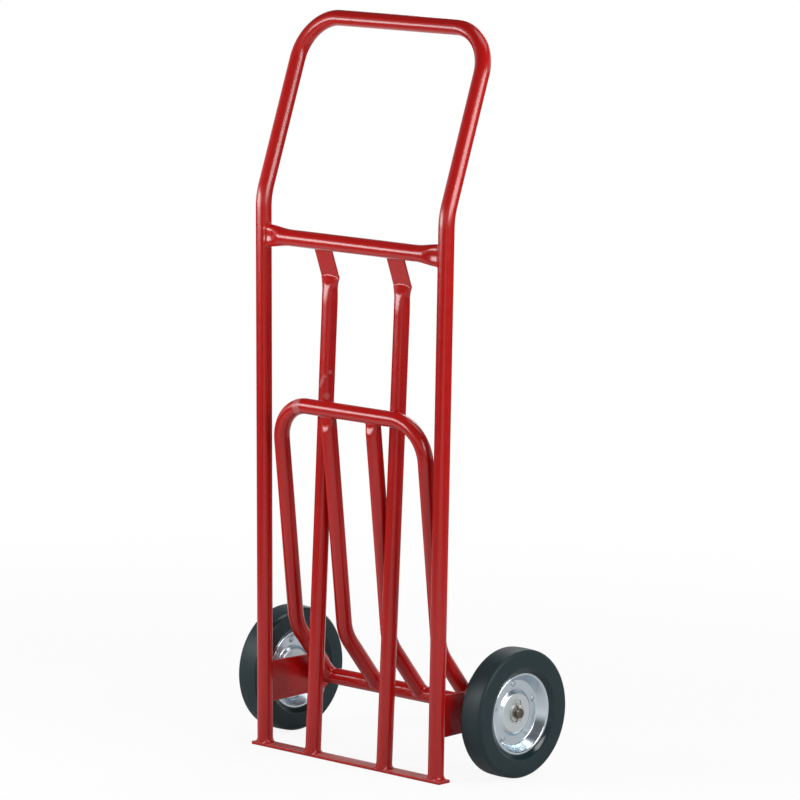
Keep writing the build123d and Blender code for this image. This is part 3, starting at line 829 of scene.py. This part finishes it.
def bracket_grid():
    """Flat plate: its outline, drawn in by the rounding of both edges, joined to the axle's hole on both
    faces."""
    front_y = TUBE_R - BRACKET_SEAT
    taper = (BRACKET_FRONT - BRACKET_REAR) / 2 * front_y / BRACKET_TAIL
    front_half, rear_half = BRACKET_FRONT / 2 - taper, BRACKET_REAR / 2
    corners = [(0, front_y, AXLE_Z), (0, front_y, AXLE_Z - front_half), (0, BRACKET_TAIL, AXLE_Z - rear_half),
               (0, BRACKET_TAIL, AXLE_Z + rear_half), (0, front_y, AXLE_Z + front_half), (0, front_y, AXLE_Z)]
    line = BentLine(corners, [BRACKET_FRONT_CORNER, BRACKET_REAR_CORNER,
                              BRACKET_REAR_CORNER, BRACKET_FRONT_CORNER])
    outline, ahead = line.at(line.stations(run_step=4.0, arc_step=1.5)[:-1])
    outward = np.cross(ahead, X_AXIS)
    outward *= np.sign(((outline - AXLE_POINT) * outward).sum())
    inset, lift = rounded_edges(BRACKET_EDGE, BRACKET_THICK)
    rim = outline[None] - inset[:, None, None] * outward[None]
    rim[..., 0] = BRACKET_X - BRACKET_THICK / 2 + lift[:, None]
    hole = AXLE_POINT + (AXLE_R + AXLE_FIT) * unit(outline - AXLE_POINT)
    hole = np.stack([hole, hole])
    hole[0, :, 0] = BRACKET_X + BRACKET_THICK / 2
    hole[1, :, 0] = BRACKET_X - BRACKET_THICK / 2
    return np.concatenate([rim, hole])


add_piece("frame_tube_skin", "frame", ENAMEL, [frame_tube_skin()], ["frame_tube"])
add_piece("crossbar_skin", "frame", ENAMEL, [crossbar_skin()], ["upper_crossbar"])
add_piece("toe_plate_skin", "frame", TOE_ENAMEL_PAINTED_SHEEN, [toe_plate_skin()], ["toe_plate"])
for side_name, side in SIDES:
    add_piece(side_name + "_centre_tube_skin", "frame", ENAMEL,
              [skin(mirrored(centre_tube_grid(), side))], [side_name + "_centre_tube"])
    add_piece(side_name + "_bracket_skin", "frame", ENAMEL,
              [skin(mirrored(bracket_grid(), side), loop_rows=True)], [side_name + "_axle_bracket"])
    frame_welds.append(foot_fillet(side * upright_x(TOE_TOP), 0.0))
    frame_welds.append(foot_fillet(side * CENTRE_X, CENTRE_FOOT_Y))
    for face in (-1.0, 1.0):
        weld_x = side * (BRACKET_X + face * (BRACKET_THICK / 2 + BRACKET_BEAD_OFF))
        weld_y = TUBE_R - BRACKET_BEAD_OFF
        half = BRACKET_FRONT / 2 - BEAD_END
        low, high = (np.array([weld_x, weld_y, AXLE_Z + end * half]) for end in (-1, 1))
        frame_welds.append(weld_run(low, high, BRACKET_BEAD))
    for weld_y, weld_z in STRIP_WELDS:
        half = STRIP_HALF_WIDE - BEAD_END
        low, high = (np.array([side * (CENTRE_X + end * half), weld_y, weld_z]) for end in (-1, 1))
        frame_welds.append(weld_run(low, high, STRIP_BEAD))
add_piece("frame_welds", "frame", ENAMEL, frame_welds)


# Nose

def nose_corners(x):
    """Corner points of a nose tube from the pivot's line up to the top bar's line."""
    return [(x, AXLE_Y, AXLE_Z), (x, NOSE_KNEE_Y, NOSE_KNEE_Z), (x, NOSE_TOP_Y, NOSE_TOP_Z)]


def cut_to_pivot(grid, ahead, row):
    """Moves an end row along the tube to the pivot tube's skin, and lays a weld fillet round that seam."""
    reach = cope(grid[row], ahead, AXLE_POINT, X_AXIS, PIVOT_R, True)
    grid[row] = grid[row] + reach[:, None] * ahead
    nose_welds.append(weld_fillet(grid[row], ahead, AXLE_POINT, X_AXIS, PIVOT_R, *PIVOT_WELD))


def nose_loop_skin():
    """The loop: a circle along one bent line, both legs cut to the pivot tube."""
    right = nose_corners(LEG_X)
    left = [(-x, y, z) for x, y, z in reversed(right)]
    line = BentLine(right + left, [NOSE_KNEE_BEND, NOSE_CORNER, NOSE_CORNER, NOSE_KNEE_BEND])
    stations = line.stations(RUN_STEP, ARC_STEP)
    clear = (stations > PIVOT_CLEAR) & (stations < line.length - PIVOT_CLEAR)
    ends = (stations == 0) | (stations == stations[-1])
    points, ahead = line.at(stations[clear | ends])
    # The loop's line never runs along this direction
    reference = unit([0.0, 1.0, 0.25])
    grid = tube(points, ahead, reference, 72)
    cut_to_pivot(grid, ahead[0], 0)
    cut_to_pivot(grid, -ahead[-1], -1)
    return skin(grid)


def prong_grid(side):
    """A prong: a circle along the bent line, pinched to an ellipse at the top, where the front is pressed in
    by a dent that starts lowest in the middle, and cut to the loop's top bar and to the pivot tube."""
    line = BentLine(nose_corners(PRONG_X * side), [NOSE_KNEE_BEND])
    top = line.length - TUBE_R
    stations = line.stations(RUN_STEP, ARC_STEP)
    clear = (stations > PIVOT_CLEAR) & (stations < line.length - PRONG_CLEAR)
    fine = np.linspace(line.length - PRONG_FINE, top - PRONG_FINE_END, 60)
    stations = np.concatenate([stations[clear | (stations == 0)], fine, [line.length]])
    points, ahead = line.at(stations)
    across = np.broadcast_to(X_AXIS, points.shape)
    front = np.cross(across, ahead)
    turn = turns(len(points), 96)
    ease = smooth_step((stations - (line.length - PRONG_PINCH)) / PRONG_PINCH)[:, None]
    wide = (TUBE_R + (PRONG_END_WIDE - TUBE_R) * ease) * np.cos(turn)
    deep = (TUBE_R + (PRONG_END_DEEP - TUBE_R) * ease) * np.sin(turn)
    dent_foot = top - PRONG_DENT_DROP[side] + PRONG_DENT_SWEEP * np.abs(wide)
    into = smooth_step((stations[:, None] - dent_foot) / PRONG_DENT_LENGTH)
    dent = PRONG_DENT * into * np.clip(np.sin(turn), 0, 1) ** PRONG_DENT_POWER
    grid = carried(points, across, front, wide, deep - dent)
    cut_to_pivot(grid, ahead[0], 0)
    reach = cope(grid[-2], ahead[-1], NOSE_TOP_POINT, X_AXIS, TUBE_R, False)
    grid[-1] = grid[-2] + np.maximum(reach, PRONG_LAST_STEP)[:, None] * ahead[-1]
    nose_welds.append(weld_fillet(grid[-1], -ahead[-1], NOSE_TOP_POINT, X_AXIS, TUBE_R, *PRONG_WELD))
    return grid


def pivot_profile():
    """Section of the pivot tube as (radius, offset): a straight wall with both outer ends chamfered."""
    half = [(PIVOT_R, PIVOT_HALF - PIVOT_LAND), (PIVOT_R, PIVOT_HALF - PIVOT_CHAMFER),
            (PIVOT_R - PIVOT_CHAMFER, PIVOT_HALF), (PIVOT_BORE, PIVOT_HALF)]
    return [(radius, -offset) for radius, offset in reversed(half)] + half


add_piece("nose_loop_skin", "nose", ENAMEL, [nose_loop_skin()], ["nose_loop"])
for side_name, side in SIDES:
    add_piece(side_name + "_prong_skin", "nose", ENAMEL, [skin(prong_grid(side))],
              [side_name + "_nose_prong"])
add_piece("nose_pivot_skin", "nose", ENAMEL,
          [skin(turned(pivot_profile(), 0.0, 72), loop_rows=True)], ["nose_pivot_tube"])
add_piece("nose_welds", "nose", ENAMEL, nose_welds)


# Wheels

def tyre_profile():
    """Section of the solid tyre as (radius, offset): bead with a bevelled edge, wall, rounded shoulder,
    crowned tread with a mould line, and the same mirrored with a flat chamfer for the shoulder on the frame's
    side."""
    edge = TYRE_R - TYRE_CROWN
    half_tread = TYRE_HALF - TYRE_SHOULDER
    turn = np.linspace(0, pi / 2, 10)
    shoulder = np.stack([edge - TYRE_SHOULDER + TYRE_SHOULDER * np.sin(turn),
                         half_tread + TYRE_SHOULDER * np.cos(turn)], -1)
    across = np.linspace(half_tread, 0, 30)[1:]
    crown = TYRE_R - TYRE_CROWN * (across / half_tread) ** 2
    crown = crown - MOULD_LINE_DEEP * np.exp(-((across - MOULD_LINE_OFF) / MOULD_LINE_WIDE) ** 2)
    tread = np.stack([crown, across], -1)
    chamfer = np.array([edge, TYRE_HALF]) - np.array(TYRE_CHAMFER)
    outer = np.concatenate([TYRE_BEAD, shoulder, tread])
    inner = np.concatenate([TYRE_BEAD, chamfer, tread])[-2::-1] * np.array([1.0, -1.0])
    return np.concatenate([outer, inner])


def disc_profile(side):
    """Section of a pressed disc: the outer face runs hub, web, rim and rolled lip with rounded bends, and the
    back is the same line moved square to itself by the sheet's thickness, and by half of it at the lip."""
    hub = [(DISC_HOLES[side], DISC_HUB_OUT), (DISC_HUB_R, DISC_HUB_OUT)]
    web = [(DISC_WEB_IN, DISC_SHEET), (DISC_WEB_OUT, DISC_SHEET)]
    line = BentLine([(radius, out, 0) for radius, out in hub + web + DISC_LIP], DISC_BENDS)
    points, ahead = line.at(line.stations(run_step=3.0, arc_step=0.6))
    thick = np.full((len(points), 1), DISC_SHEET)
    thick[-LIP_ROWS:] /= 2
    back = points[:, :2] + thick * np.stack([ahead[:, 1], -ahead[:, 0]], -1)
    outline = np.concatenate([points[:, :2], back[::-1]])
    return outline * np.array([1.0, side])


def rivet_grids():
    """Round heads on both faces of the web: radius and height of a spherical cap, joined by the shank."""
    # The cap begins just off its pole, where the skin's end is closed
    cap = np.linspace(0.06, 1, 8) * pi / 2
    radius = RIVET_HEAD_R * np.sin(cap)
    height = DISC_SHEET + RIVET_HEAD_TALL * np.cos(cap)
    shank = DISC_SHEET - RIVET_SUNK
    reach = np.concatenate([radius, [RIVET_SHANK_R, RIVET_SHANK_R], radius[::-1]])
    offset = np.concatenate([height, [shank, -shank], -height[::-1]])
    turn = angles(24)
    grids = []
    for place in FIRST_RIVET + angles(RIVET_COUNT):
        grid = np.empty((len(reach), len(turn), 3))
        grid[..., 0] = WHEEL_X + offset[:, None]
        grid[..., 1] = AXLE_Y + RIVET_CIRCLE * cos(place) + reach[:, None] * np.cos(turn)
        grid[..., 2] = AXLE_Z + RIVET_CIRCLE * sin(place) + reach[:, None] * np.sin(turn)
        grids.append(grid)
    return grids


def cotter_grid():
    """Split pin: a flattened round carried along one wire, from a spread tip up, round the eye and down."""
    below = AXLE_Z - AXLE_R - COTTER_DROP
    tip = (COTTER_LEG_Y + COTTER_TAIL * sin(COTTER_SPREAD), below - COTTER_TAIL * cos(COTTER_SPREAD))
    right = [tip, (COTTER_LEG_Y, below)] + COTTER_EYE
    left = [(-y, z) for y, z in reversed(right)]
    corners = [(COTTER_X, AXLE_Y + y, z) for y, z in right + left]
    line = BentLine(corners, COTTER_BENDS + COTTER_BENDS[::-1])
    points, ahead = line.at(line.stations(run_step=3.0, arc_step=0.4))
    across, beside = square_to(ahead, X_AXIS)
    turn = turns(len(points), 20)
    return carried(points, across, beside, COTTER_HALF_THICK * np.cos(turn), COTTER_HALF_WIDE * np.sin(turn))


for side_name, side in SIDES:
    wheel = side_name + "_wheel"
    add_piece(wheel + "_tyre_skin", wheel, RUBBER,
              [skin(mirrored(turned(tyre_profile(), WHEEL_X, 224), side), loop_rows=True)], [wheel + "_tyre"])
    for face_name, face in (("outer", 1.0), ("inner", -1.0)):
        disc = turned(disc_profile(face), WHEEL_X, 160)
        add_piece(f"{wheel}_{face_name}_disc_skin", wheel, PLATE,
                  [skin(mirrored(disc, side), loop_rows=True)], [f"{wheel}_{face_name}_disc"])
    add_piece(wheel + "_rivet_heads", wheel, RIVET_STEEL,
              [skin(mirrored(grid, side)) for grid in rivet_grids()], [wheel + "_disc_rivets"])
    add_piece(side_name + "_split_pin", "frame", WASHER_STEEL,
              [skin(mirrored(cotter_grid(), side))], [side_name + "_cotter_pin"])


# Materials of the solids: those that show as they are, and those under a skin

finishes = {"axle": AXLE_STEEL}
for node_name in ("frame_tube", "upper_crossbar", "toe_plate", "nose_loop", "nose_pivot_tube"):
    finishes[node_name] = ENAMEL
SIDE_FINISHES = {
    "thrust_washer": WASHER_STEEL,
    "inner_hub_washer": WASHER_STEEL,
    "outer_hub_washer": WASHER_STEEL,
    "wheel_inner_bearing": WASHER_STEEL,
    "wheel_outer_bearing": WASHER_STEEL,
    "wheel_hub_barrel": PLATE,
    "pivot_bush": NYLON,
    "centre_tube": ENAMEL,
    "axle_bracket": ENAMEL,
    "nose_prong": ENAMEL,
    "wheel_outer_disc": PLATE,
    "wheel_inner_disc": PLATE,
    "wheel_disc_rivets": PLATE,
    "wheel_tyre": RUBBER,
    "cotter_pin": WASHER_STEEL,
}
for side_name, _ in SIDES:
    for node_name, material in SIDE_FINISHES.items():
        finishes[f"{side_name}_{node_name}"] = material
for node_name, material in finishes.items():
    mesh = frame["nodes"][node_name].data
    mesh.materials.clear()
    mesh.materials.append(material)


# Studio, in metres

WHITE = (1.0, 1.0, 1.0, 1.0)
FLOOR_HALF = 20.0

# Camera, fitted to the photograph
CAMERA_AZIMUTH = radians(43.312)
CAMERA_ELEVATION = radians(8.59)
CAMERA_ROLL = radians(0.55)
CAMERA_TARGET = Vector((0.10389, 0.0, 0.59631))
CAMERA_DISTANCE = 7.76126
FOCAL_PIXELS = 4971.55
PICTURE_PIXELS = 800.0
SENSOR_WIDTH = 36.0


def studio_floor():
    """White sweep: the camera sees it lit white, with the truck's faint shadow. Gloss and glass see it white
    along the roll of paper, in line with the view, shaded under the truck and pale grey beside the roll. The
    light it throws on matt surfaces is dimmer."""
    material, tree, place, output = new_material("white_paper_sweep")
    rays = add(tree, "ShaderNodeLightPath").outputs
    shine = add(tree, "ShaderNodeMath", {0: rays["Is Glossy Ray"], 1: rays["Is Transmission Ray"]},
                operation="MAXIMUM").outputs["Value"]
    bounce = add(tree, "ShaderNodeMapRange", {"Value": rays["Is Diffuse Ray"], "To Min": 0.92,
                                              "To Max": 0.55})
    tone = add(tree, "ShaderNodeMapRange", {"Value": shine, "To Min": bounce.outputs["Result"],
                                            "To Max": 0.75})
    paper = add(tree, "ShaderNodeBsdfDiffuse", {"Color": tone.outputs["Result"]})
    glow = add(tree, "ShaderNodeEmission", {"Color": WHITE, "Strength": 1.0})
    # Whiter away from the truck, and shaded under it
    distance = add(tree, "ShaderNodeVectorMath", {0: place}, operation="LENGTH").outputs["Value"]
    white = add(tree, "ShaderNodeMapRange", {"Value": distance, "From Min": 0.4, "From Max": 2.4,
                                             "To Min": 0.9, "To Max": 1.0}, interpolation_type="SMOOTHSTEP")
    shade = add(tree, "ShaderNodeMapRange", {"Value": distance, "From Min": 0.6, "From Max": 1.2,
                                             "To Min": 0.12, "To Max": 1.0}, interpolation_type="SMOOTHSTEP")
    # The roll of paper, about two metres wide
    sideways = (cos(CAMERA_AZIMUTH), sin(CAMERA_AZIMUTH), 0.0)
    across = add(tree, "ShaderNodeVectorMath", {0: place, 1: sideways}, operation="DOT_PRODUCT")
    off = add(tree, "ShaderNodeMath", {0: across.outputs["Value"]}, operation="ABSOLUTE")
    roll = add(tree, "ShaderNodeMapRange", {"Value": off.outputs["Value"], "From Min": 0.8, "From Max": 1.1,
                                            "To Min": 1.0, "To Max": 0.0})
    sheen = add(tree, "ShaderNodeMath", {0: shade.outputs["Result"], 1: roll.outputs["Result"]},
                operation="MULTIPLY")
    gloss = add(tree, "ShaderNodeMath", {0: shine, 1: sheen.outputs["Value"]}, operation="MULTIPLY")
    direct = add(tree, "ShaderNodeMath", {0: rays["Is Camera Ray"], 1: white.outputs["Result"]},
                 operation="MULTIPLY")
    seen = add(tree, "ShaderNodeMath", {0: gloss.outputs["Value"], 1: direct.outputs["Value"]},
               operation="MAXIMUM")
    mix = add(tree, "ShaderNodeMixShader", {0: seen.outputs["Value"], 1: paper.outputs["BSDF"],
                                            2: glow.outputs["Emission"]})
    tree.links.new(mix.outputs["Shader"], output.inputs["Surface"])
    corners = [(x * FLOOR_HALF, y * FLOOR_HALF, 0) for x, y in ((-1, -1), (1, -1), (1, 1), (-1, 1))]
    mesh = bpy.data.meshes.new("studio_floor")
    mesh.from_pydata(corners, [], [(0, 1, 2, 3)])
    mesh.materials.append(material)
    floor = bpy.data.objects.new("studio_floor", mesh)
    bpy.context.scene.collection.objects.link(floor)


def studio_world():
    """Pale walls up to eye height that darken towards an unlit ceiling: brightness by the height of the ray.
    The camera, gloss and glass see the walls white; as a light on matt surfaces they are dimmer."""
    world = bpy.data.worlds.new("studio")
    world.use_nodes = True
    tree = world.node_tree
    tree.nodes.clear()
    ray = add(tree, "ShaderNodeTexCoord").outputs["Object"]
    height = add(tree, "ShaderNodeSeparateXYZ", {"Vector": ray}).outputs["Z"]
    wall = add(tree, "ShaderNodeMapRange", {"Value": height, "From Min": 0.02, "From Max": 0.5,
                                            "To Min": 1.0, "To Max": 0.1}, interpolation_type="SMOOTHSTEP")
    rays = add(tree, "ShaderNodeLightPath").outputs
    shine = add(tree, "ShaderNodeMath", {0: rays["Is Camera Ray"], 1: rays["Is Glossy Ray"]},
                operation="MAXIMUM")
    clear = add(tree, "ShaderNodeMath", {0: shine.outputs["Value"], 1: rays["Is Transmission Ray"]},
                operation="MAXIMUM")
    level = add(tree, "ShaderNodeMapRange", {"Value": clear.outputs["Value"], "To Min": 0.28, "To Max": 1.0})
    strength = add(tree, "ShaderNodeMath", {0: wall.outputs["Result"], 1: level.outputs["Result"]},
                   operation="MULTIPLY")
    background = add(tree, "ShaderNodeBackground", {"Color": WHITE, "Strength": strength.outputs["Value"]})
    out = add(tree, "ShaderNodeOutputWorld")
    tree.links.new(background.outputs["Background"], out.inputs["Surface"])
    bpy.context.scene.world = world


def soft_box(name, place, aim, width, height, power):
    """A rectangular lamp at a place, turned to face a point, with its power in watts."""
    lamp = bpy.data.lights.new(name, "AREA")
    lamp.shape = "RECTANGLE"
    lamp.size, lamp.size_y = width, height
    lamp.energy = power
    box = bpy.data.objects.new(name, lamp)
    box.location = place
    box.rotation_mode = "QUATERNION"
    box.rotation_quaternion = (Vector(aim) - Vector(place)).to_track_quat("-Z", "Y")
    bpy.context.scene.collection.objects.link(box)


def studio_camera():
    """The photograph's view: turned, raised and rolled by the fitted angles, looking at the fitted point."""
    level = cos(CAMERA_ELEVATION)
    back = Vector((sin(CAMERA_AZIMUTH) * level, -cos(CAMERA_AZIMUTH) * level, sin(CAMERA_ELEVATION)))
    right = (-back).cross(Vector((0, 0, 1))).normalized()
    up = right.cross(-back)
    turned_right = cos(CAMERA_ROLL) * right + sin(CAMERA_ROLL) * up
    turned_up = -sin(CAMERA_ROLL) * right + cos(CAMERA_ROLL) * up
    data = bpy.data.cameras.new("camera")
    data.sensor_width = SENSOR_WIDTH
    data.lens = SENSOR_WIDTH * FOCAL_PIXELS / PICTURE_PIXELS
    data.clip_start, data.clip_end = 0.1, 100.0
    camera = bpy.data.objects.new("camera", data)
    axes = Matrix((turned_right, turned_up, back)).transposed().to_4x4()
    camera.matrix_world = Matrix.Translation(CAMERA_TARGET + CAMERA_DISTANCE * back) @ axes
    bpy.context.scene.collection.objects.link(camera)
    bpy.context.scene.camera = camera


studio_floor()
studio_world()
soft_box("front_left_box", (-0.85, -1.15, 0.945), (0.0, 0.0, 0.775), 1.4, 0.45, 19.5)
soft_box("right_box", (1.65, -0.04, 1.2), (0.0, 0.0, 0.85), 1.5, 0.55, 23.5)
soft_box("top_box", (0.6, 0.6, 2.6), (0.3, 0.3, 0.1), 0.7, 1.7, 10.0)
soft_box("back_box", (-1.0, 2.1, 2.1), (0.0, 0.0, 0.55), 1.6, 1.2, 24.0)
studio_camera()
bpy.context.scene.view_settings.view_transform = "Standard"
